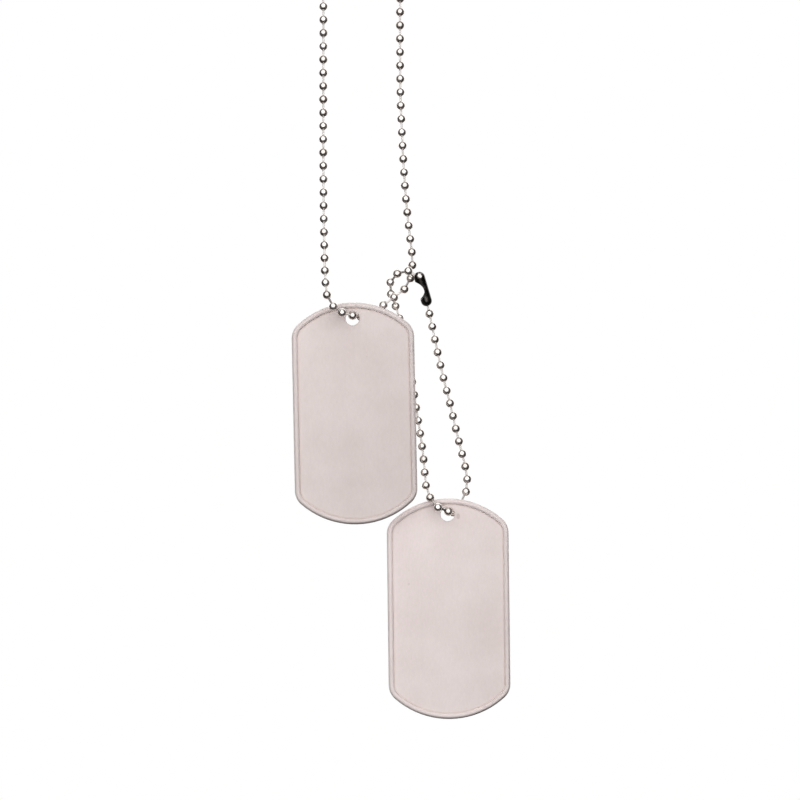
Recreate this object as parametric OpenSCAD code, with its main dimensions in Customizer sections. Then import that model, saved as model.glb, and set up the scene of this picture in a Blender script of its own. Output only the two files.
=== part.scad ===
// Two blank identification tags on two linked bead chains, hanging.
// X is to the wearer's left as seen from the front, Y goes away from the viewer, Z is up.
// The origin is where the neck chain hangs, at the top of its loop.

/* [Tags] */
// Width of a tag
tag_w = 28.5; // [24:0.1:32]
// Height of a tag
tag_h = 51.6; // [44:0.1:60]
// Radius of the curved top and bottom ends
end_r = 19.2; // [18:0.1:26]
// Radius of the corners between an end and a side
corner_r = 4.4; // [3.5:0.1:7]
// Thickness of the sheet
sheet_t = 0.4; // [0.34:0.01:0.42]
// Diameter of the hollow inside the rolled rim
roll_core_d = 0.6; // [0.43:0.01:0.66]
// Distance that the roll is set back from the middle of the sheet
rim_back = 0.08; // [0.06:0.01:0.14]
// Gap of the seam where the rolled edge comes back to the sheet
seam_gap = 0.08; // [0.05:0.01:0.1]
// Diameter of the hole
hole_d = 3.2; // [3.1:0.05:3.5]
// Distance of the hole's centre below the top edge
hole_drop = 3.7; // [3.3:0.05:4.5]
// Lean of the front tag from upright, in degrees
front_lean = 1.2; // [0:0.1:4]
// Lean of the lower tag from upright, in degrees
lower_lean = 0.7; // [0:0.1:4]

/* [Chains] */
// Diameter of a bead
bead_d = 2.1; // [1.9:0.05:2.2]
// Thickness of a bead's wall
bead_wall = 0.2; // [0.15:0.01:0.25]
// Clear space between one bead and the next
bead_gap = 1; // [0.9:0.05:1.2]
// Diameter of a link between two beads
link_d = 0.48; // [0.4:0.02:0.56]
// Diameter of the head that holds a link inside a bead
head_d = 1; // [0.9:0.02:1.04]
// Length of a link's head
head_l = 0.3; // [0.2:0.02:0.4]
// Clear space round a link where it passes through a bead or a connector
link_play = 0.12; // [0.1:0.01:0.15]
// Length of the neck chain with its connector
neck_chain_l = 610; // [590:5:760]
// Radius of the neck chain's round top
neck_r = 58; // [50:1:62]
// Lean of the neck chain's sides below its round top, in degrees
side_lean = 27; // [24:0.5:30]
// Radius at which the strands turn outwards above the tags
turn_r = 40; // [20:1:50]

/* [Connectors] */
// Distance between the two beads that a connector holds
span = 5.85; // [5.7:0.05:6]
// Thickness of a connector's sheet
clip_wall = 0.16; // [0.15:0.01:0.25]
// Clear space round a bead in a connector
cup_play = 0.1; // [0.1:0.01:0.15]
// Diameter of the opening in a connector's end
mouth_d = 1.2; // [1:0.05:1.4]
// Radius of the hollow cut into a connector's waist
waist_r = 2.4; // [2.1:0.1:2.5]
// Distance of the waist's hollow past the connector's axis
waist_depth = 0.3; // [0:0.05:0.4]

/* [Hidden] */
$fn = 48;

steel = [0.86, 0.83, 0.82];
chain_steel = [0.62, 0.60, 0.58];
clip_steel = [0.42, 0.40, 0.39];

// Places below are measured from the centre of the front tag's hole.
front_hole = [0, 0, 0];
lower_hole = [22.15, 4.2, -45.7];

// Neck chain, from the bead in the front tag's hole up the left strand, in front of the tag.
neck_left = [
    [0.05, -1, 0.65], [-2.35, -2.8, 1.25], [-4.2, -4.5, 2.5], [-5.7, -4.9, 4.9], [-6.15, -3.9, 7.7],
    [-6.35, -2.6, 10.85], [-6.5, -1.3, 15.5], [-6.7, -0.2, 25], [-6.8, 0, 39], [-6.8, 0, 55]
];
// Neck chain, from the same bead behind the tag, round its kink and up the right strand.
neck_right = [
    [0.05, -1, 0.65], [1.95, 1.55, 0.5], [5, 2.15, 1.3], [7.6, 2.1, 3.6], [10.05, 1.95, 5.25],
    [12.25, 2.1, 7.1], [13.45, 2.8, 9.3], [13.9, 2.4, 12], [13.85, 1.6, 15.1], [13.1, 0.7, 21.3],
    [12.2, 0.3, 30.7], [11.5, 0, 43], [11.1, 0, 55]
];
// Short chain, from the bead in the lower tag's hole behind the tag and up to its connector.
short_right = [
    [22.35, 3.1, -45], [23.4, 5.8, -45.3], [25.1, 7.1, -43.4], [26.5, 6.7, -40.6], [26.8, 6, -37.8],
    [26.4, 5.5, -34.8], [24.3, 4.5, -26.5], [22.9, 3.8, -20.4], [21.3, 3.2, -14.2], [19.9, 2.7, -8.2],
    [18.6, 2.2, -2], [17.9, 1.9, 1.2], [17.2, 1.6, 4.15]
];
// Short chain, from its connector in front of the neck chain, round behind it and down to the hole.
short_left = [
    [15.55, 0, 9.6], [13.1, -0.4, 11.05], [10.6, 0.9, 10.6], [8.9, 2.5, 8.8], [8.8, 3.9, 6.4], [9.9, 4.4, 3.4],
    [10.9, 4.1, 0.35], [11.8, 3.6, -2.7], [12.9, 3, -8.7], [13.9, 2.7, -14.5], [14.7, 2.5, -20],
    [16.3, 2.3, -30.4], [17.2, 2.25, -39.5], [18.3, 2.15, -42], [20.05, 1.7, -44.15], [22.35, 3.1, -45]
];

// Tag outline. An end is an arc of end_r, and each corner is an arc inside it, tangent to it and to the side.
end_z = tag_h / 2 - end_r;
corner_x = tag_w / 2 - corner_r;
corner_z = end_z + sqrt(pow(end_r - corner_r, 2) - pow(corner_x, 2));
corner_a = atan2(corner_z - end_z, corner_x);
core_r = roll_core_d / 2;
rim_r = core_r + sheet_t;

// Beads and links
bead_r = bead_d / 2;
bead_in_r = bead_r - bead_wall;
link_r = link_d / 2;
pitch = bead_d + bead_gap;
head_room = 0.1;
// A head's far rim stays head_room clear of the inside of its bead.
head_end = sqrt(pow(bead_in_r - head_room, 2) - pow(head_d / 2, 2));

// Connectors
cup_r = bead_r + cup_play;
clip_r = cup_r + clip_wall;
slot_w = link_d + 3 * link_play;
over = 1;

function unit(v) = v / norm(v);
function last(v) = v[len(v) - 1];
function flip(v) = [for (i = [len(v) - 1 : -1 : 0]) v[i]];
function tail(v) = [for (i = [1 : len(v) - 1]) v[i]];

// A smooth curve through a route's points, with steps points for each of its spans.
function spline_at(a, b, c, d, t) =
    ((2 * b) + (c - a) * t + (2 * a - 5 * b + 4 * c - d) * t * t + (3 * b - a - 3 * c + d) * t * t * t) / 2;
function smooth(route, steps = 8) = [
    for (i = [0 : len(route) - 2], s = [0 : steps - 1])
        spline_at(
            i == 0 ? 2 * route[0] - route[1] : route[i - 1],
            route[i],
            route[i + 1],
            i == len(route) - 2 ? 2 * route[i + 1] - route[i] : route[i + 2],
            s / steps
        ),
    last(route)
];
function lengths(curve) = [
    for (i = 0, l = 0; i < len(curve);
        l = i + 1 < len(curve) ? l + norm(curve[i + 1] - curve[i]) : l, i = i + 1) l
];
function curve_length(curve) = last(lengths(curve));

// Bead centres along a route, evenly spaced at about one pitch, with one on each end.
function beads_along(route) =
    let (
        curve = smooth(route),
        at = lengths(curve),
        gaps = round(last(at) / pitch),
        axis = [for (k = [0 : 2]) [for (i = [0 : len(curve) - 1]) [at[i], curve[i][k]]]]
    )
    [for (i = [0 : gaps]) let (s = last(at) * i / gaps) [lookup(s, axis[0]), lookup(s, axis[1]), lookup(s, axis[2])]];

// Hidden stretch of the neck chain: each strand runs up, turns outwards and goes round the neck.
left_top = last(neck_left);
right_top = last(neck_right);
loop_x = (left_top[0] + right_top[0]) / 2;
half_gap = (right_top[0] - left_top[0]) / 2;
side_l = (neck_r * cos(side_lean) - half_gap - turn_r * (1 - cos(side_lean))) / sin(side_lean);
turn_h = turn_r * sin(side_lean);
side_h = side_l * cos(side_lean);
// Angle from the top of the loop to the connector's end beads
clip_a = asin(span / 2 / neck_r);
// Height of the loop's round centre above the start of the turn
round_h = turn_h + side_h + neck_r * sin(side_lean);
// Route points on the hidden stretch: angle between those on a turn, places along a straight side,
// angle from the side's end to the first on the round top, and number of spans on that
turn_step = 9;
side_parts = [0.5, 0.95];
round_start = 7;
round_steps = 12;

// One half of the hidden stretch, for the right side (side = 1) or the left (side = -1).
function upper_half(side, turn_z) = concat(
    [for (a = [0 : turn_step : side_lean])
        [loop_x + side * (half_gap + turn_r * (1 - cos(a))), 0, turn_z + turn_r * sin(a)]],
    [for (f = side_parts)
        [loop_x + side * (half_gap + turn_r * (1 - cos(side_lean)) + f * side_l * sin(side_lean)), 0,
            turn_z + turn_h + f * side_h]],
    [for (i = [0 : round_steps])
        let (low = round_start - side_lean, a = low + (90 - clip_a - low) * i / round_steps)
        [loop_x + side * neck_r * cos(a), 0, turn_z + round_h + neck_r * sin(a)]]
);
function neck_route(side, turn_z) = concat(side < 0 ? neck_left : neck_right, upper_half(side, turn_z));
function neck_length(turn_z) =
    span + curve_length(smooth(neck_route(-1, turn_z))) + curve_length(smooth(neck_route(1, turn_z)));

// The strands run straight up until the whole loop has its length. It is first measured with its turns
// turn_room above the drawn stretch.
turn_room = 10;
low_turn_z = left_top[2] + turn_room;
turn_z = low_turn_z + (neck_chain_l - neck_length(low_turn_z)) / 2;
hang = [loop_x, 0, turn_z + round_h + neck_r * cos(clip_a)];

// Bead centres of each chain, from one end in its connector to the other.
right_beads = flip(beads_along(neck_route(1, turn_z)));
left_beads = tail(beads_along(neck_route(-1, turn_z)));
short_beads = concat(beads_along(short_left), tail(beads_along(short_right)));

// Turns the Z axis to a direction.
module aim(dir) {
    rotate([0, acos(unit(dir)[2]), atan2(dir[1], dir[0])]) children();
}

// One hollow bead, with the link that joins it to the next one and is held inside that by its head.
module bead(centre, before, after) {
    way = after == undef ? centre - before : after - centre;
    translate(centre) {
        difference() {
            aim(way) shell();
            if (before != undef)
                aim(before - centre) cylinder(r = link_r + link_play, h = bead_d);
        }
        if (after != undef)
            aim(way) link(norm(way));
    }
}

// A bead's wall, turned about an axis across the chain.
module shell() {
    rotate([90, 0, 0]) rotate_extrude() difference() {
        circle(r = bead_r);
        circle(r = bead_in_r);
        translate([-bead_d, -bead_d]) square([bead_d, 2 * bead_d]);
    }
}

// A link along Z, from its root in a bead's wall to its head, for beads that lie reach apart.
module link(reach) {
    root = bead_r - bead_wall / 2;
    head = reach - head_end;
    rotate_extrude() polygon([
        [0, root], [link_r, root], [link_r, head], [head_d / 2, head],
        [head_d / 2, head + head_l], [0, head + head_l]
    ]);
}

// A chain's beads, which may join on to the bead before them and the bead after them.
module chain(beads, before, after) {
    for (i = [0 : len(beads) - 1])
        bead(beads[i], i > 0 ? beads[i - 1] : before, i < len(beads) - 1 ? beads[i + 1] : after);
}

// Half the outline of a tube with round ends round a connector's two beads.
module capsule(r) {
    intersection() {
        union() {
            for (end = [-1, 1])
                translate([0, end * span / 2]) circle(r = r);
            translate([-r, -span / 2]) square([2 * r, span]);
        }
        translate([0, -span / 2 - r]) square([r, span + 2 * r]);
    }
}

// A folded sheet connector with its axis along Z and its open side towards +X.
module connector() {
    difference() {
        rotate_extrude() difference() {
            capsule(clip_r);
            capsule(cup_r);
        }
        translate([0, -slot_w / 2, -span]) cube([clip_r + over, slot_w, 2 * span]);
        for (end = [0, 180])
            rotate([end, 0, 0]) translate([0, 0, span / 2]) cylinder(d = mouth_d, h = clip_r + over);
        translate([waist_r - waist_depth, 0, 0])
            rotate([90, 0, 0]) cylinder(r = waist_r, h = 2 * (clip_r + over), center = true);
    }
}

// Places a connector on its two beads, with its open side towards a direction.
module connector_between(low, high, open) {
    w = unit(high - low);
    u = unit(open - (open * w) * w);
    v = cross(w, u);
    c = (low + high) / 2;
    multmatrix([
        [u[0], v[0], w[0], c[0]],
        [u[1], v[1], w[1], c[1]],
        [u[2], v[2], w[2], c[2]],
        [0, 0, 0, 1]
    ]) connector();
}

// A quarter of a tag's outline, from the right side up to the top, inset from the edge.
corner_steps = 7;
end_steps = 7;
function quarter_outline(inset) = concat(
    [for (i = [0 : corner_steps])
        let (a = corner_a * i / corner_steps)
        [corner_x + (corner_r - inset) * cos(a), corner_z + (corner_r - inset) * sin(a)]],
    [for (i = [1 : end_steps])
        let (a = corner_a + (90 - corner_a) * i / end_steps)
        [(end_r - inset) * cos(a), end_z + (end_r - inset) * sin(a)]]
);
function outline(inset) =
    let (q = quarter_outline(inset), half = concat(q, tail(flip([for (p = q) [-p[0], p[1]]]))))
    concat(half, [for (p = half) -p]);

// The sheet's section at its edge, from the front of the flat web round the roll to the web's back.
// X is outwards from the middle of the roll, Y is away from the viewer.
function arc(r, from, to, steps) = [
    for (i = [0 : steps])
        let (a = from + (to - from) * i / steps)
        [r * cos(a), rim_back + r * sin(a)]
];
crease_a = 180 - asin((sheet_t / 2 + rim_back) / rim_r);
lip_a = 180 - asin((sheet_t / 2 - rim_back + seam_gap) / core_r);
root_a = 180 - asin((sheet_t / 2 - rim_back) / core_r);
rim_steps = 12;
core_steps = 9;
edge_section = concat(arc(rim_r, -crease_a, lip_a, rim_steps), arc(core_r, lip_a, root_a - 360, core_steps));

// A tag's sheet with its rolled rim, centred on its outline.
module sheet() {
    rings = [for (p = edge_section) [for (q = outline(rim_r - p[0])) [q[0], p[1], q[1]]]];
    n = len(rings[0]);
    polyhedron(
        points = [for (ring = rings, q = ring) q],
        faces = concat(
            [[for (j = [n - 1 : -1 : 0]) j]],
            [for (i = [0 : len(rings) - 2], j = [0 : n - 1])
                [i * n + j, i * n + (j + 1) % n, (i + 1) * n + (j + 1) % n, (i + 1) * n + j]],
            [[for (j = [0 : n - 1]) (len(rings) - 1) * n + j]]
        )
    );
}

// A tag, with the centre of its hole at the origin.
module tag() {
    difference() {
        translate([0, 0, hole_drop - tag_h / 2]) sheet();
        rotate([90, 0, 0]) cylinder(d = hole_d, h = 3 * sheet_t, center = true);
    }
}

module front_tag() {
    color(steel) translate(front_hole - hang) rotate([0, -front_lean, 0]) tag();
}

module lower_tag() {
    color(steel) translate(lower_hole - hang) rotate([0, -lower_lean, 0]) tag();
}

// The right strand, behind the front tag and into its hole, where the left strand goes on.
module neck_chain_right() {
    color(chain_steel) translate(-hang) chain(right_beads, undef, left_beads[0]);
}

module neck_chain_left() {
    color(chain_steel) translate(-hang) chain(left_beads, last(right_beads), undef);
}

module neck_connector() {
    color(clip_steel) translate(-hang) connector_between(last(left_beads), right_beads[0], [0, 0, 1]);
}

module short_chain() {
    color(chain_steel) translate(-hang) chain(short_beads);
}

module short_connector() {
    color(clip_steel) translate(-hang)
        connector_between(last(short_beads), short_beads[0], short_beads[1] - short_beads[0]);
}

front_tag();
lower_tag();
neck_chain_left();
neck_chain_right();
neck_connector();
short_chain();
short_connector();
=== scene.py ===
"""Two blank identification tags on their linked bead chains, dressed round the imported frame."""
import math
import random

import bmesh
import bpy
import numpy as np
from mathutils import Matrix, Vector


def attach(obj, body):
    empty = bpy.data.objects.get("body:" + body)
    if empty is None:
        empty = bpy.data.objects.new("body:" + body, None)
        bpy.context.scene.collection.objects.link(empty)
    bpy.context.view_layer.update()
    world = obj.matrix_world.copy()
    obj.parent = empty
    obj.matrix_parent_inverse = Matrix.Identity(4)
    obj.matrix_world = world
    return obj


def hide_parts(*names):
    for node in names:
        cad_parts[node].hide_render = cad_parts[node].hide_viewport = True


MM = 0.001

# Sizes in millimetres and leans in degrees, as in the part's source
TAG_W, TAG_H = 28.5, 51.6
END_R, CORNER_R = 19.2, 4.4
SHEET_T, CORE_R, RIM_BACK, SEAM_GAP = 0.4, 0.3, 0.08, 0.08
HOLE_D, HOLE_DROP = 3.2, 3.7
FRONT_LEAN, LOWER_LEAN = 1.2, 0.7
BEAD_D, BEAD_GAP, LINK_D, LINK_PLAY = 2.1, 1.0, 0.48, 0.12
SPAN, NECK_CHAIN_L, NECK_R, SIDE_LEAN, TURN_R = 5.85, 610, 58, 27, 40
# Outer radius of the rolled rim, and height of a tag's middle from its hole
RIM_R = CORE_R + SHEET_T
MIDDLE_Z = HOLE_DROP - TAG_H / 2

# Places in millimetres, from the centre of the front tag's hole
FRONT_HOLE = (0, 0, 0)
LOWER_HOLE = (22.15, 4.2, -45.7)
NECK_LEFT = [
    (0.05, -1, 0.65), (-2.35, -2.8, 1.25), (-4.2, -4.5, 2.5), (-5.7, -4.9, 4.9), (-6.15, -3.9, 7.7),
    (-6.35, -2.6, 10.85), (-6.5, -1.3, 15.5), (-6.7, -0.2, 25), (-6.8, 0, 39), (-6.8, 0, 55),
]
NECK_RIGHT = [
    (0.05, -1, 0.65), (1.95, 1.55, 0.5), (5, 2.15, 1.3), (7.6, 2.1, 3.6), (10.05, 1.95, 5.25),
    (12.25, 2.1, 7.1), (13.45, 2.8, 9.3), (13.9, 2.4, 12), (13.85, 1.6, 15.1), (13.1, 0.7, 21.3),
    (12.2, 0.3, 30.7), (11.5, 0, 43), (11.1, 0, 55),
]
SHORT_RIGHT = [
    (22.35, 3.1, -45), (23.4, 5.8, -45.3), (25.1, 7.1, -43.4), (26.5, 6.7, -40.6), (26.8, 6, -37.8),
    (26.4, 5.5, -34.8), (24.3, 4.5, -26.5), (22.9, 3.8, -20.4), (21.3, 3.2, -14.2), (19.9, 2.7, -8.2),
    (18.6, 2.2, -2), (17.9, 1.9, 1.2), (17.2, 1.6, 4.15),
]
SHORT_LEFT = [
    (15.55, 0, 9.6), (13.1, -0.4, 11.05), (10.6, 0.9, 10.6), (8.9, 2.5, 8.8), (8.8, 3.9, 6.4),
    (9.9, 4.4, 3.4), (10.9, 4.1, 0.35), (11.8, 3.6, -2.7), (12.9, 3, -8.7), (13.9, 2.7, -14.5),
    (14.7, 2.5, -20), (16.3, 2.3, -30.4), (17.2, 2.25, -39.5), (18.3, 2.15, -42), (20.05, 1.7, -44.15),
    (22.35, 3.1, -45),
]

# Points of the hidden neck loop: degrees apart on a turn, and shares of the straight side
TURN_STEP, SIDE_SHARES = 9, (0.5, 0.95)
# Degrees from the start of the neck's round to its first point, and how many points it has
ROUND_START, ROUND_POINTS = 7, 13
# Trial height of a turn above the visible strand, from which the chain's length sets the real one
TRIAL_RISE = 10

# How light a tag's middle is painted, from 0 for darkest to 1 for its own colour
LIGHT_MIDDLE = 0.69
# How much lighter its upper left is painted than its lower right, as light from the upper left falls on it
LIGHT_CHANGE = 0.62
# How much darker each tag is, as a share of that change
FRONT_DARKER, LOWER_DARKER = 0.5, 0
# The way that a tag's rim faces where its painted shade is darkest, as little light comes from below
SHADED_SIDE = (0.3, 0, -0.95)
# Painted highlights on the short connector: middle, radii where the fade begins and ends, brightness
HIGHLIGHT_SPOTS = [
    ((15.8, -1.2, 10.1), 0.4, 0.8, 1),
    ((16.8, -0.5, 7.1), 0.1, 0.8, 0.3),
    ((17.3, 0.2, 4.6), 0.2, 0.9, 0.2),
]
# How fast a link gets painted shade where the chain bends
LINK_SHADE = 5
# Seed of the beads' tones
TONE_SEED = 7
# A layer's colour where it changes nothing
CLEAR = (1, 1, 1)

# Degrees that a tag's outline, or the way to it from the hole, turns between two points of the mesh
OUTLINE_TURN, HOLE_TURN = 4, 5
# Points that they are picked from, along half a side, a corner and half an end
SIDE_STEPS, CORNER_STEPS, END_STEPS = 80, 60, 120
# Steps round the outside and the inside of the rolled rim
ROLL_STEPS, CORE_STEPS = 24, 16
HOLE_BEVEL = 0.05
# Painted shade in the rim's creases, on the ring beside the front one, and on the wall of the hole
CREASE_SHADE, BESIDE_SHADE, HOLE_SHADE = 1, 0.4, 0.5
# Rings on a tag's flat faces: millimetres from the rim's foot or the hole, share of the room, painted shade
FOOT_RINGS = [(0.12, 0.2, 0.7), (0.4, 0.5, 0)]
MOUTH_RINGS = [(0.25, 0.35, 0), (0, 0, 0.8)]

# Points of a bead from hole to hole and round it, and sides of a link
BEAD_POINTS, BEAD_SIDES, LINK_SIDES = 15, 24, 12
# A bead's hole: radius, depth, and depth of the bevel at its edge
BORE_R, BORE_DEPTH, BORE_BEVEL = LINK_D / 2 + LINK_PLAY, 0.3, 0.03
# Radii of the hole's floor and of the bevel's foot, as shares of the hole's
BORE_FLOOR_SHARE, BORE_BEVEL_SHARE = 0.94, 0.97
# How far inside the hole's edge the painted shade begins
SHADE_INSET = 0.005
# A bead counts as straight below this sine of half its bend
NO_BEND = 1e-6

# Edges sharper than this many degrees stay sharp
TAG_SHARP, CHAIN_SHARP = 30, 50

# The photograph's frame: 800 pixels wide, with the front tag's hole at this pixel
PHOTO_SIZE = 800
HOLE_PX = (352.5, 318.5)
PX_PER_MM = 4.3

# Stage and camera, in metres, with the lens and sensor in millimetres
LIGHT_DISTANCE = 1.6
BACKDROP_R, BACKDROP_RINGS = 4, 33
FLOOR_R, FLOOR_T, FLOOR_Z = 3.5, 0.01, -0.43
STAGE_SIDES = 64
LENS, SENSOR = 135, 36
CLIP_NEAR, CLIP_FAR = 0.01, 20
# Softboxes: name, azimuth, elevation and half width in degrees, radiance
LIGHTS = [("front", -3, 20, 48, 1.85), ("overhead", 0, 88, 24, 0.5), ("back", 180, 14, 56, 1.6)]
# The faint warm grey all round
WORLD_COLOUR = (0.05, 0.046, 0.044)

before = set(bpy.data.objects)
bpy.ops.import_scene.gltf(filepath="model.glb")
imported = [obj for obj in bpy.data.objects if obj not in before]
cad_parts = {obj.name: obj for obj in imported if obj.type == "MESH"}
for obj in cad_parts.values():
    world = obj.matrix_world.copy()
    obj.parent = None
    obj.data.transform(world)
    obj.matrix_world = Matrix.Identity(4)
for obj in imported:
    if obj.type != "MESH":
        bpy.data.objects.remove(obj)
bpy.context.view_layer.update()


# Routes of the chains

def smooth(route, steps=8):
    """A smooth curve through a route's points."""
    pts = [np.array(p, float) for p in route]
    ends = [2 * pts[0] - pts[1], *pts, 2 * pts[-1] - pts[-2]]
    out = []
    for a, b, c, d in zip(ends, ends[1:], ends[2:], ends[3:]):
        for s in range(steps):
            t = s / steps
            out.append((2 * b + (c - a) * t + (2 * a - 5 * b + 4 * c - d) * t ** 2
                        + (3 * b - a - 3 * c + d) * t ** 3) / 2)
    return np.array([*out, pts[-1]])


def lengths(curve):
    """The distance along a curve to each of its points."""
    return np.concatenate([[0], np.cumsum(np.linalg.norm(np.diff(curve, axis=0), axis=1))])


def beads_along(route):
    """Bead centres along a route, evenly spaced at about one pitch."""
    curve = smooth(route)
    at = lengths(curve)
    gaps = math.floor(at[-1] / (BEAD_D + BEAD_GAP) + 0.5)
    where = np.linspace(0, at[-1], gaps + 1)
    return np.stack([np.interp(where, at, curve[:, k]) for k in range(3)], axis=1)


# The loop's sides lean outwards from the turns to the neck, and the connector takes up clip_a on each side
lean, clip_a = math.radians(SIDE_LEAN), math.asin(SPAN / 2 / NECK_R)
loop_x = (NECK_LEFT[-1][0] + NECK_RIGHT[-1][0]) / 2
half_gap = (NECK_RIGHT[-1][0] - NECK_LEFT[-1][0]) / 2
side_l = (NECK_R * math.cos(lean) - half_gap - TURN_R * (1 - math.cos(lean))) / math.sin(lean)
turn_h, side_h = TURN_R * math.sin(lean), side_l * math.cos(lean)
round_h = turn_h + side_h + NECK_R * math.sin(lean)


def upper_half(side, turn_z):
    """The stretch of one strand that the photograph doesn't show, from its turn outwards to the nape."""
    pts = []
    for degrees in range(0, SIDE_LEAN + 1, TURN_STEP):
        a = math.radians(degrees)
        pts.append((half_gap + TURN_R * (1 - math.cos(a)), turn_z + TURN_R * math.sin(a)))
    for f in SIDE_SHARES:
        out = half_gap + TURN_R * (1 - math.cos(lean)) + f * side_l * math.sin(lean)
        pts.append((out, turn_z + turn_h + f * side_h))
    for a in np.linspace(math.radians(ROUND_START) - lean, math.pi / 2 - clip_a, ROUND_POINTS):
        pts.append((NECK_R * math.cos(a), turn_z + round_h + NECK_R * math.sin(a)))
    return [(loop_x + side * x, 0, z) for x, z in pts]


def neck_route(side, turn_z):
    """One strand's route, from the front tag's hole to the nape."""
    return (NECK_LEFT if side < 0 else NECK_RIGHT) + upper_half(side, turn_z)


low_turn_z = NECK_LEFT[-1][2] + TRIAL_RISE
low_length = SPAN + sum(lengths(smooth(neck_route(side, low_turn_z)))[-1] for side in (-1, 1))
turn_z = low_turn_z + (NECK_CHAIN_L - low_length) / 2
hang = np.array([loop_x, 0, turn_z + round_h + NECK_R * math.cos(clip_a)])

right_beads = beads_along(neck_route(1, turn_z))[::-1]
left_beads = beads_along(neck_route(-1, turn_z))[1:]
short_beads = np.vstack([beads_along(SHORT_LEFT), beads_along(SHORT_RIGHT)[1:]])


# Mesh helpers

def add_object(name, verts, faces, material):
    """A mesh object of one material, put into the scene."""
    mesh = bpy.data.meshes.new(name)
    mesh.from_pydata([tuple(v) for v in verts], [], faces)
    mesh.update()
    mesh.materials.append(material)
    obj = bpy.data.objects.new(name, mesh)
    bpy.context.scene.collection.objects.link(obj)
    return obj


def shade(obj, sharp_degrees):
    """Smooth shading, with the edges sharper than an angle left sharp."""
    bm = bmesh.new()
    bm.from_mesh(obj.data)
    bmesh.ops.recalc_face_normals(bm, faces=bm.faces)
    for face in bm.faces:
        face.smooth = True
    for edge in bm.edges:
        edge.smooth = edge.calc_face_angle(0) < math.radians(sharp_degrees)
    bm.to_mesh(obj.data)
    bm.free()


def add_values(obj, name, values):
    """Gives each vertex a value that a material reads by name."""
    attribute = obj.data.attributes.new(name, "FLOAT", "POINT")
    attribute.data.foreach_set("value", np.asarray(values, float))


def ring_faces(rings, n, closed):
    """Quads between neighbouring rings of n points, from the last back to the first where closed."""
    faces = []
    for i in range(rings if closed else rings - 1):
        a, b = i * n, (i + 1) % rings * n
        faces += [(a + j, a + (j + 1) % n, b + (j + 1) % n, b + j) for j in range(n)]
    return faces


def lathe(profile, steps):
    """A closed solid turned about Z from (radius, height) pairs, with its first and last on the axis."""
    turns = np.linspace(0, 2 * math.pi, steps, endpoint=False)
    circle = np.column_stack([np.cos(turns), np.sin(turns)])
    rings = [np.column_stack([r * circle, np.full(steps, z)]) for r, z in profile[1:-1]]
    verts = np.vstack([*rings, [(0, 0, profile[0][1])], [(0, 0, profile[-1][1])]])
    faces = ring_faces(len(rings), steps, False)
    top, bottom = len(verts) - 1, len(verts) - 2
    final = (len(rings) - 1) * steps
    for k in range(steps):
        faces.append((bottom, (k + 1) % steps, k))
        faces.append((top, final + k, final + (k + 1) % steps))
    return verts, faces


def frame_towards(way):
    """Rotation whose Z axis is a direction."""
    return np.array(Vector(way).to_track_quat("Z", "Y").to_matrix())


def unit(v):
    """A vector shortened or stretched to length 1."""
    return v / np.linalg.norm(v)


# Materials

def new_material(name, colour, roughness):
    """A plain metal, with its nodes, links and shader."""
    mat = bpy.data.materials.new(name)
    mat.use_nodes = True
    nodes, links = mat.node_tree.nodes, mat.node_tree.links
    shader = nodes["Principled BSDF"]
    shader.inputs["Base Color"].default_value = (*colour, 1)
    shader.inputs["Metallic"].default_value = 1
    shader.inputs["Roughness"].default_value = roughness
    return mat, nodes, links, shader


def noise(nodes, links, coords, scale, detail, stretch=(1, 1, 1)):
    """A noise pattern in object space, scale in cells a metre, stretched along chosen axes."""
    mapping = nodes.new("ShaderNodeMapping")
    mapping.inputs["Scale"].default_value = stretch
    links.new(coords, mapping.inputs["Vector"])
    tex = nodes.new("ShaderNodeTexNoise")
    tex.inputs["Scale"].default_value = scale
    tex.inputs["Detail"].default_value = detail
    links.new(mapping.outputs["Vector"], tex.inputs["Vector"])
    return tex.outputs["Fac"]


def value_of(nodes, name):
    """A vertex value of the mesh, by name."""
    node = nodes.new("ShaderNodeAttribute")
    node.attribute_name = name
    return node.outputs["Fac"]


def ramp(nodes, links, value, low, high, low_colour, high_colour):
    """Blends between two colours over a span of a value."""
    node = nodes.new("ShaderNodeValToRGB")
    first, final = node.color_ramp.elements
    first.position, final.position = low, high
    first.color, final.color = (*low_colour, 1), (*high_colour, 1)
    links.new(value, node.inputs["Fac"])
    return node.outputs["Color"]


def tint(nodes, links, shader, layers):
    """Multiplies a shader's base colour by layers of colour."""
    base = nodes.new("ShaderNodeRGB")
    base.outputs[0].default_value = shader.inputs["Base Color"].default_value
    colour = base.outputs[0]
    for layer in layers:
        mix = nodes.new("ShaderNodeMix")
        mix.data_type, mix.blend_type = "RGBA", "MULTIPLY"
        mix.inputs["Factor"].default_value = 1
        links.new(colour, mix.inputs["A"])
        links.new(layer, mix.inputs["B"])
        colour = mix.outputs["Result"]
    links.new(colour, shader.inputs["Base Color"])


def spread(nodes, links, value, low, high, start=0, stop=1):
    """Maps a value between start and stop on to a span."""
    node = nodes.new("ShaderNodeMapRange")
    node.inputs["From Min"].default_value = start
    node.inputs["From Max"].default_value = stop
    node.inputs["To Min"].default_value = low
    node.inputs["To Max"].default_value = high
    links.new(value, node.inputs["Value"])
    return node.outputs["Result"]


def added(nodes, links, first, second):
    """The sum of two values."""
    node = nodes.new("ShaderNodeMath")
    links.new(first, node.inputs[0])
    links.new(second, node.inputs[1])
    return node.outputs["Value"]


def bumps(nodes, links, shader, layers):
    """Stacks bump layers, each a height pattern and its depth in metres."""
    normal = None
    for height, depth in layers:
        node = nodes.new("ShaderNodeBump")
        node.inputs["Distance"].default_value = depth
        links.new(height, node.inputs["Height"])
        if normal is not None:
            links.new(normal, node.inputs["Normal"])
        normal = node.outputs["Normal"]
    links.new(normal, shader.inputs["Normal"])


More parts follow.
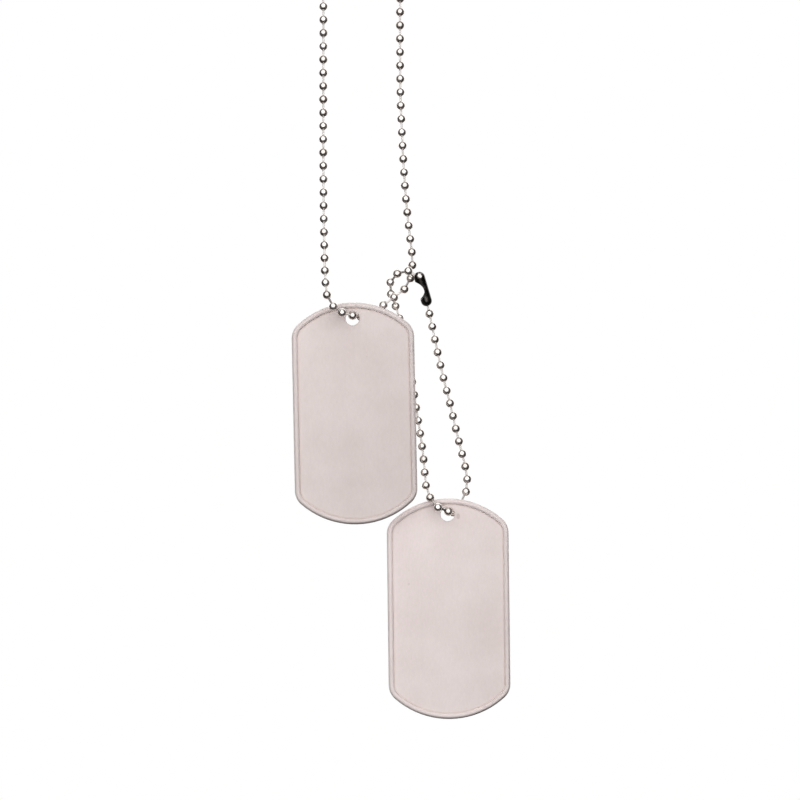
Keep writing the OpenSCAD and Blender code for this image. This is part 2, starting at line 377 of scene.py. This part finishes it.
def tag_material():
    """Pale satin stainless sheet: a fine grain, faint smudges, a few specks, painted shade in its creases,
    hole and lower rim, and painted light.
    """
    mat, nodes, links, shader = new_material("tag_satin_steel", (0.93, 0.872, 0.862), 0.85)
    coords = nodes.new("ShaderNodeTexCoord").outputs["Object"]
    smudge = noise(nodes, links, coords, 70, 4)
    grain = noise(nodes, links, coords, 2600, 2, (1, 1, 0.4))
    speck = noise(nodes, links, coords, 420, 0)
    tint(nodes, links, shader, [
        ramp(nodes, links, smudge, 0.35, 0.7, (0.965, 0.957, 0.955), CLEAR),
        ramp(nodes, links, grain, 0.3, 0.7, (0.975, 0.973, 0.972), CLEAR),
        ramp(nodes, links, speck, 0.12, 0.16, (0.88, 0.86, 0.85), CLEAR),
        # Painted light: darker towards a tag's lower right, lighter towards its upper left
        ramp(nodes, links, value_of(nodes, "painted_light"), 0, 1, (0.84, 0.832, 0.824), CLEAR),
        # Painted shade in the creases, by the rim's foot and round the hole
        ramp(nodes, links, value_of(nodes, "painted_shade"), 0, 1, CLEAR, (0.92, 0.89, 0.87)),
        # Painted shade on the lower rim where it faces down
        ramp(nodes, links, value_of(nodes, "tarnish_and_painted_shade"), 0.2, 1, CLEAR, (0.3, 0.28, 0.27)),
    ])
    mottle = noise(nodes, links, coords, 160, 5)
    links.new(spread(nodes, links, mottle, 0.8, 0.9), shader.inputs["Roughness"])
    waves = noise(nodes, links, coords, 45, 2)
    scratches = noise(nodes, links, coords, 5200, 2, (1, 1, 0.3))
    bumps(nodes, links, shader, [(waves, 0.00005), (scratches, 0.000001)])
    return mat


def chain_material(name, colour, roughness):
    """Plated metal: bright wire links, beads that differ a little, painted shade in their holes and on links
    at bends.
    """
    mat, nodes, links, shader = new_material(name, colour, roughness)
    coords = nodes.new("ShaderNodeTexCoord").outputs["Object"]
    tarnish_and_painted_shade = noise(nodes, links, coords, 900, 4)
    tint(nodes, links, shader, [
        ramp(nodes, links, tarnish_and_painted_shade, 0.3, 0.7, (0.8, 0.77, 0.74), CLEAR),
        ramp(nodes, links, value_of(nodes, "tone"), 0, 1, CLEAR, (0.8, 0.77, 0.75)),
        # Painted shade in the beads' holes and on the links where the chain bends
        ramp(nodes, links, value_of(nodes, "painted_shade"), 0, 1, CLEAR, (0.12, 0.1, 0.09)),
    ])
    mottle = noise(nodes, links, coords, 1500, 4)
    uneven = spread(nodes, links, mottle, roughness - 0.05, roughness + 0.08)
    wire = spread(nodes, links, value_of(nodes, "wire"), 0, 0.3)
    links.new(spread(nodes, links, value_of(nodes, "wire"), 1, 0.2), shader.inputs["Metallic"])
    links.new(added(nodes, links, uneven, wire), shader.inputs["Roughness"])
    bumps(nodes, links, shader, [(noise(nodes, links, coords, 1800, 3), 0.00001)])
    return mat


def highlight_patch(nodes, links, coords, spot, full, end, share):
    """A value that fades out round a spot, between two radii."""
    offset = nodes.new("ShaderNodeVectorMath")
    offset.operation = "DISTANCE"
    links.new(coords, offset.inputs[0])
    offset.inputs[1].default_value = (np.array(spot) - hang) * MM
    return spread(nodes, links, offset.outputs["Value"], share, 0, full * MM, end * MM)


def connector_material():
    """Blackened steel, with painted highlights in places at the front of the short connector."""
    mat, nodes, links, shader = new_material("connector_steel", (0.9, 0.87, 0.85), 0.22)
    coords = nodes.new("ShaderNodeTexCoord").outputs["Object"]
    highlit, *others = [highlight_patch(nodes, links, coords, *patch) for patch in HIGHLIGHT_SPOTS]
    for patch in others:
        highlit = added(nodes, links, highlit, patch)
    tarnish_and_painted_shade = noise(nodes, links, coords, 1100, 4)
    tint(nodes, links, shader, [
        ramp(nodes, links, tarnish_and_painted_shade, 0.3, 0.7, (0.75, 0.72, 0.7), CLEAR),
        # Painted highlights: the base colour stays bright round the spots and is blackened elsewhere
        ramp(nodes, links, highlit, 0, 1, (0.06, 0.057, 0.055), CLEAR),
    ])
    mottle = noise(nodes, links, coords, 1500, 4)
    links.new(spread(nodes, links, mottle, 0.17, 0.3), shader.inputs["Roughness"])
    bumps(nodes, links, shader, [(noise(nodes, links, coords, 1800, 3), 0.00001)])
    return mat


TAG_STEEL = tag_material()
CHAIN_STEEL = chain_material("bead_chain_steel", (0.88, 0.85, 0.83), 0.26)
CLIP_STEEL = connector_material()


# Tags

def outline_stations():
    """Close points of a tag's outline and their outward normals, in millimetres from its centre."""
    end_z = TAG_H / 2 - END_R
    corner_x = TAG_W / 2 - CORNER_R
    corner_z = end_z + math.sqrt((END_R - CORNER_R) ** 2 - corner_x ** 2)
    corner_a = math.atan2(corner_z - end_z, corner_x)
    right = [(TAG_W / 2, z, 1, 0) for z in np.linspace(0, corner_z, SIDE_STEPS, endpoint=False)]
    for a in np.linspace(0, corner_a, CORNER_STEPS, endpoint=False):
        n = (math.cos(a), math.sin(a))
        right.append((corner_x + CORNER_R * n[0], corner_z + CORNER_R * n[1], *n))
    for a in np.linspace(corner_a, math.pi / 2, END_STEPS):
        n = (math.cos(a), math.sin(a))
        right.append((END_R * n[0], end_z + END_R * n[1], *n))
    half = right + [(-x, z, -nx, nz) for x, z, nx, nz in right[-2:0:-1]]
    return half + [(-x, -z, -nx, -nz) for x, z, nx, nz in half]


def apart(a, b):
    """The angle between two directions, all in degrees."""
    return abs((a - b + 180) % 360 - 180)


def pick_stations(stations, hole_z):
    """Keeps the stations where the outline, or the view of it from the hole, has turned a few degrees."""
    kept = []
    for x, z, nx, nz in stations:
        facing = math.degrees(math.atan2(nz, nx))
        seen = math.degrees(math.atan2(z - hole_z, x))
        if not kept or apart(facing, last_facing) > OUTLINE_TURN or apart(seen, last_seen) > HOLE_TURN:
            kept.append((x, z, nx, nz))
            last_facing, last_seen = facing, seen
    return np.array(kept)


def arc(r, start, stop, steps):
    """Points of the rolled edge's section: outwards from the roll's middle, and away from the viewer."""
    return [(r * math.cos(a), RIM_BACK + r * math.sin(a)) for a in np.linspace(start, stop, steps + 1)]


def edge_section():
    """The section from the front face round the roll to the back face."""
    crease = math.pi - math.asin((SHEET_T / 2 + RIM_BACK) / RIM_R)
    lip = math.pi - math.asin((SHEET_T / 2 - RIM_BACK + SEAM_GAP) / CORE_R)
    root = math.pi - math.asin((SHEET_T / 2 - RIM_BACK) / CORE_R)
    return arc(RIM_R, -crease, lip, ROLL_STEPS) + arc(CORE_R, lip, root - 2 * math.pi, CORE_STEPS)


def tag_rings():
    """A tag's rings in order, round its rim, in over the back face, through the hole and out over the front.

    Each ring is its points in the tag's plane, their depth and how much painted shade they hold."""
    hole_r, half = HOLE_D / 2, SHEET_T / 2
    centre = np.array([0, -MIDDLE_Z])
    stations = pick_stations(outline_stations(), centre[1])
    edge, normal = stations[:, :2], stations[:, 2:]
    away = (edge - centre) / np.linalg.norm(edge - centre, axis=1)[:, None]
    section = edge_section()

    def across(foot_out):
        """Rings on a flat face, from the rim's foot to the hole."""
        foot = edge - normal * (RIM_R - foot_out)
        mouth = centre + away * (hole_r + HOLE_BEVEL)
        room = np.linalg.norm(foot - mouth, axis=1)
        near_foot = [(foot - normal * np.minimum(d, share * room)[:, None], g) for d, share, g in FOOT_RINGS]
        near_mouth = [(mouth + away * np.minimum(d, share * room)[:, None], g) for d, share, g in MOUTH_RINGS]
        return near_foot + near_mouth

    rings = [(edge - normal * (RIM_R - out), y, 0) for out, y in section]
    # Painted shade in the creases and on the ring beside the front one
    for at, shade_depth in ((0, CREASE_SHADE), (1, BESIDE_SHADE), (len(section) - 1, CREASE_SHADE)):
        rings[at] = (*rings[at][:2], shade_depth)
    rings += [(flat, half, g) for flat, g in across(section[-1][0])]
    rings += [(centre + away * hole_r, y, HOLE_SHADE) for y in (half - HOLE_BEVEL, HOLE_BEVEL - half)]
    rings += [(flat, -half, g) for flat, g in across(section[0][0])[::-1]]
    return rings


def tag_piece(name, hole, lean_degrees, darkening):
    """A tag's sheet with its rolled rim and bevelled hole, placed by its hole."""
    rings = tag_rings()
    n = len(rings[0][0])
    verts = np.vstack([np.column_stack([flat[:, 0], np.full(n, y), flat[:, 1]]) for flat, y, shade_depth in rings])
    verts[:, 2] += MIDDLE_Z
    obj = add_object(name, verts * MM, ring_faces(len(rings), n, True), TAG_STEEL)
    # Painted shade from the rings, darkest in the creases and round the hole
    add_values(obj, "painted_shade", np.repeat([shade_depth for flat, y, shade_depth in rings], n))
    # Painted light: lighter towards the upper left, darker towards the lower right
    upper_left = (verts[:, 2] - MIDDLE_Z) / TAG_H / 2 - verts[:, 0] / TAG_W / 2
    add_values(obj, "painted_light", LIGHT_MIDDLE + (upper_left - darkening) * LIGHT_CHANGE)
    turn = Matrix.Rotation(math.radians(-lean_degrees), 4, "Y")
    obj.data.transform(Matrix.Translation(Vector((np.array(hole) - hang) * MM)) @ turn)
    shade(obj, TAG_SHARP)
    # Painted shade: the lower half darker the more its faces point down and a little right
    normals = np.array([vertex.normal for vertex in obj.data.vertices])
    lower = verts[:, 2] < MIDDLE_Z
    add_values(obj, "tarnish_and_painted_shade", np.clip(normals @ SHADED_SIDE, 0, 1) * lower)
    return obj


# Chains

def bead_profile():
    """A bead's outline along the chain, with its two holes sunk a little way in."""
    r = BEAD_D / 2
    start = math.asin(BORE_R / r)
    wall = [(r * math.sin(a), -r * math.cos(a)) for a in np.linspace(start, math.pi - start, BEAD_POINTS)]
    end_z = -r * math.cos(start)
    floor_z, bevel_z = end_z + BORE_DEPTH, end_z + BORE_BEVEL
    mouth = [(0, floor_z), (BORE_R * BORE_FLOOR_SHARE, floor_z), (BORE_R * BORE_BEVEL_SHARE, bevel_z)]
    return mouth + wall + [(x, -z) for x, z in mouth[::-1]]


def bent(points, t_in, t_out):
    """Turns a bead's points so that its two ends face along the links on either side."""
    along = unit(t_in + t_out)
    placed = points @ frame_towards(along).T
    axis = np.cross(along, t_out)
    if np.linalg.norm(axis) < NO_BEND:
        return placed
    half_bend = math.asin(min(1, np.linalg.norm(axis)))
    axis = unit(axis)
    a = (half_bend * np.clip(points[:, 2] / (BEAD_D / 2), -1, 1))[:, None]
    return (placed * np.cos(a) + np.cross(axis, placed) * np.sin(a)
            + (placed @ axis)[:, None] * axis * (1 - np.cos(a)))


def chain_piece(name, beads, before=None, after=None):
    """Beads turned to follow the chain, with a link from each bead to the next."""
    bead_verts, bead_faces = lathe(bead_profile(), BEAD_SIDES)
    link_verts, link_faces = lathe([(0, 0), (LINK_D / 2, 0), (LINK_D / 2, 1), (0, 1)], LINK_SIDES)
    # Painted shade inside the beads' holes
    in_hole = np.hypot(bead_verts[:, 0], bead_verts[:, 1]) < BORE_R - SHADE_INSET
    link_start = BEAD_D / 2 - BORE_DEPTH
    tones = random.Random(TONE_SEED)
    verts, faces, painted_shade, wire, tone = [], [], [], [], []

    def add(points, polygons, shade_depth, is_wire, its_tone):
        """Adds one bead or link, with its vertex values."""
        start = sum(len(v) for v in verts)
        verts.append(points)
        faces.extend(tuple(start + k for k in f) for f in polygons)
        painted_shade.extend(shade_depth)
        wire.extend([is_wire] * len(points))
        tone.extend([its_tone] * len(points))

    for i, centre in enumerate(beads):
        previous = beads[i - 1] if i else before
        following = beads[i + 1] if i + 1 < len(beads) else after
        t_in = unit(centre - previous) if previous is not None else unit(following - centre)
        t_out = unit(following - centre) if following is not None else t_in
        add(bent(bead_verts, t_in, t_out) + centre, bead_faces, in_hole.astype(float), 0, tones.random())
        if following is not None:
            reach = np.linalg.norm(following - centre)
            rod = link_verts * [1, 1, reach - 2 * link_start] + [0, 0, link_start]
            beyond = beads[i + 2] if i + 2 < len(beads) else 2 * following - centre
            # Painted shade on a link, darker the more the chain bends there
            turning = 1 - max(t_in @ t_out, t_out @ unit(beyond - following))
            shade_depth = min(1, LINK_SHADE * turning)
            add(rod @ frame_towards(t_out).T + centre, link_faces, [shade_depth] * len(rod), 1, 0)
    obj = add_object(name, (np.vstack(verts) - hang) * MM, faces, CHAIN_STEEL)
    add_values(obj, "painted_shade", painted_shade)
    add_values(obj, "wire", wire)
    add_values(obj, "tone", tone)
    shade(obj, CHAIN_SHARP)
    return obj


# Pieces on their bodies

def dress(piece, body, node):
    """Puts a piece on its body, in the place of one CAD node."""
    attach(piece, body)
    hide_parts(node)


dress(tag_piece("front_tag_sheet", FRONT_HOLE, FRONT_LEAN, FRONT_DARKER), "front_tag", "front_tag")
dress(tag_piece("lower_tag_sheet", LOWER_HOLE, LOWER_LEAN, LOWER_DARKER), "lower_tag", "lower_tag")
right_chain = chain_piece("neck_beads_right", right_beads, None, left_beads[0])
dress(right_chain, "chains", "neck_chain_right")
left_chain = chain_piece("neck_beads_left", left_beads, right_beads[-1])
dress(left_chain, "chains", "neck_chain_left")
dress(chain_piece("short_beads", short_beads), "chains", "short_chain")

# The connectors keep their CAD meshes
for node in ("neck_connector", "short_connector"):
    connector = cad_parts[node]
    connector.data.materials.clear()
    connector.data.materials.append(CLIP_STEEL)


# Stage, light and camera

# The point that the photograph's middle shows
middle_x = (PHOTO_SIZE / 2 - HOLE_PX[0]) / PX_PER_MM - hang[0]
middle_z = (HOLE_PX[1] - PHOTO_SIZE / 2) / PX_PER_MM - hang[2]
middle = Vector((middle_x * MM, 0, middle_z * MM))


def glow(name):
    """Pure white that is seen as it is, whatever light falls on it."""
    mat = bpy.data.materials.new(name)
    mat.use_nodes = True
    nodes, links = mat.node_tree.nodes, mat.node_tree.links
    nodes.clear()
    emission = nodes.new("ShaderNodeEmission")
    emission.inputs["Color"].default_value = (1, 1, 1, 1)
    links.new(emission.outputs["Emission"], nodes.new("ShaderNodeOutputMaterial").inputs["Surface"])
    return mat


def stage(name, profile, height):
    """A plain white stage piece that only the camera sees, so that it puts no light on the metal."""
    verts, faces = lathe(profile, STAGE_SIDES)
    obj = add_object(name, verts + [0, 0, height], faces, glow(name + "_white"))
    obj.visible_diffuse = obj.visible_glossy = obj.visible_transmission = obj.visible_shadow = False


def soft_light(name, azimuth, elevation, half_angle, radiance):
    """A round softbox facing the part, placed by its direction from there."""
    data = bpy.data.lights.new(name, "AREA")
    data.shape = "DISK"
    data.size = 2 * LIGHT_DISTANCE * math.tan(math.radians(half_angle))
    area = math.pi * data.size ** 2 / 4
    data.energy = radiance * math.pi * area
    obj = bpy.data.objects.new(name, data)
    a, e = math.radians(azimuth), math.radians(elevation)
    way = Vector((math.sin(a) * math.cos(e), -math.cos(a) * math.cos(e), math.sin(e)))
    obj.location = middle + way * LIGHT_DISTANCE
    obj.rotation_euler = way.to_track_quat("Z", "Y").to_euler()
    bpy.context.scene.collection.objects.link(obj)


def add_camera():
    """The photograph's view, level and from the front."""
    data = bpy.data.cameras.new("camera")
    data.lens, data.sensor_width = LENS, SENSOR
    data.clip_start, data.clip_end = CLIP_NEAR, CLIP_FAR
    obj = bpy.data.objects.new("camera", data)
    view_w = PHOTO_SIZE / PX_PER_MM * MM
    obj.location = middle + Vector((0, -view_w * data.lens / data.sensor_width, 0))
    obj.rotation_euler = (math.pi / 2, 0, 0)
    bpy.context.scene.collection.objects.link(obj)
    bpy.context.scene.camera = obj


angles = np.linspace(0, math.pi, BACKDROP_RINGS)
stage("backdrop", [(BACKDROP_R * math.sin(a), -BACKDROP_R * math.cos(a)) for a in angles], 0)
stage("floor", [(0, -FLOOR_T), (FLOOR_R, -FLOOR_T), (FLOOR_R, 0), (0, 0)], FLOOR_Z)
for light in LIGHTS:
    soft_light(*light)
world = bpy.data.worlds.new("studio")
world.use_nodes = True
world.node_tree.nodes["Background"].inputs["Color"].default_value = (*WORLD_COLOUR, 1)
bpy.context.scene.world = world
bpy.context.scene.view_settings.view_transform = "Standard"
add_camera()
